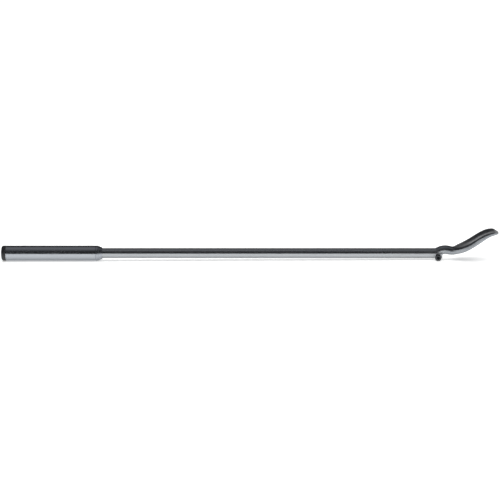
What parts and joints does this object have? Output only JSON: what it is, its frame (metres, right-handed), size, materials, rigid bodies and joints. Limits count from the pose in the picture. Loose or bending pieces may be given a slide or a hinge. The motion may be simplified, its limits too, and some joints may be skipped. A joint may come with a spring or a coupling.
{
  "type": "tyre lever",
  "caption": "Long round-bar tyre lever with a tubular grip, a stepped heel with free-turning rollers and a curved spoon tip.",
  "frame": {"origin": "centre of the grip's rear face, on the bar's axis", "axes": "+X along the bar from the grip to the spoon's tip, +Z towards the side that the spoon lifts to, +Y the left side"},
  "size_m": [0.98, 0.0489, 0.0606],
  "materials": {
    "forged_steel": "forged, polished and dark plated",
    "tube_steel": "drawn, polished and dark plated",
    "collar_steel": "turned and dark plated",
    "plug_plastic": "moulded black",
    "plain_steel": "stamped or turned, plain",
    "spring_steel": "hardened and tempered",
    "blackened_steel": "black oxide",
    "roller_steel": "hardened, black oxide",
    "bush_bronze": "sintered bronze"
  },
  "bodies": {
    "lever": {"lever_bar": "forged_steel", "grip_tube": "tube_steel", "grip_end_plug": "plug_plastic", "grip_nose_collar": "collar_steel", "grip_rear_sleeve": "plain_steel", "grip_front_spring_pin": "spring_steel", "grip_rear_spring_pin": "spring_steel", "heel_axle": "blackened_steel", "left_inner_washer": "plain_steel", "right_inner_washer": "plain_steel", "left_outer_washer": "plain_steel", "right_outer_washer": "plain_steel", "left_retaining_clip": "spring_steel", "right_retaining_clip": "spring_steel"},
    "left_wheel": {"left_roller": "roller_steel", "left_roller_bush": "bush_bronze"},
    "right_wheel": {"right_roller": "roller_steel", "right_roller_bush": "bush_bronze"}
  },
  "joints": [
    {"name": "left_roller_spin", "type": "hinge", "parent": "lever", "child": "left_wheel", "pos_m": [0.861, 0, -0.006], "axis": [0, 1, 0], "continuous": true},
    {"name": "right_roller_spin", "type": "hinge", "parent": "lever", "child": "right_wheel", "pos_m": [0.861, 0, -0.006], "axis": [0, 1, 0], "continuous": true}
  ]
}
